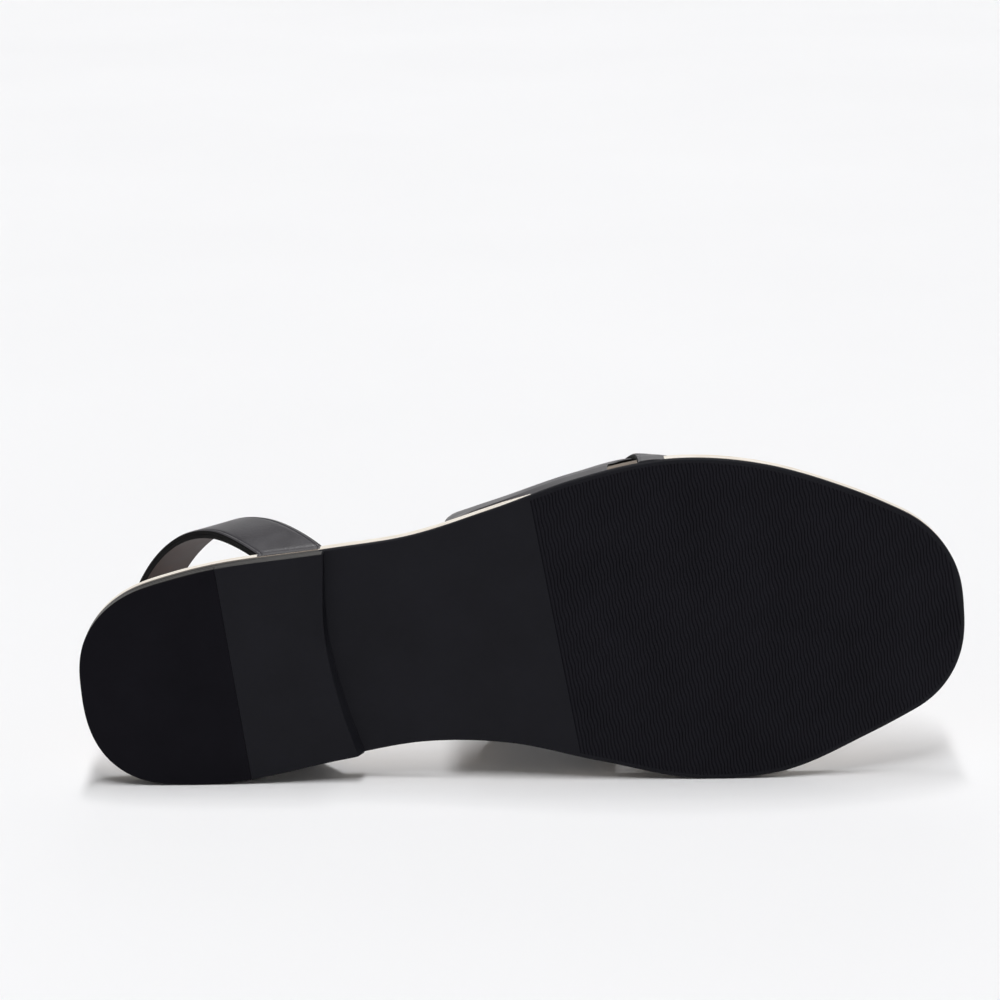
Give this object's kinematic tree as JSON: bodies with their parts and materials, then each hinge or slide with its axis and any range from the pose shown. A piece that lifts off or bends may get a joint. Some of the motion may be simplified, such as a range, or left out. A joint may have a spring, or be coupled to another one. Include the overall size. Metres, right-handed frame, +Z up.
{
  "type": "sandal",
  "caption": "Flat leather sandal for the right foot, lying on its medial side: wide straps cross over the forefoot, a strap loops round the heel, and the rubber sole has a low heel.",
  "frame": {"origin": "on the floor the sandal lies on, under the middle of its bounding box", "axes": "+X from heel to toe, -Y the way the sole's underside faces, +Z up, towards the lateral side"},
  "size_m": [0.2606, 0.0772, 0.0972],
  "materials": {
    "outsole": "matt black rubber, ribbed under the forefoot",
    "heel_block": "stacked heel with black painted edges, satin",
    "heel_top_piece": "matt black wear rubber",
    "insole": "natural leather with a pale cut edge",
    "cross_straps": "smooth black leather, lined, painted edges",
    "heel_strap": "smooth black leather, lined, painted edges"
  },
  "bodies": {
    "root": {"outsole": "outsole", "heel_block": "heel_block", "heel_top_piece": "heel_top_piece", "insole": "insole", "cross_straps": "cross_straps", "heel_strap": "heel_strap"}
  },
  "joints": []
}
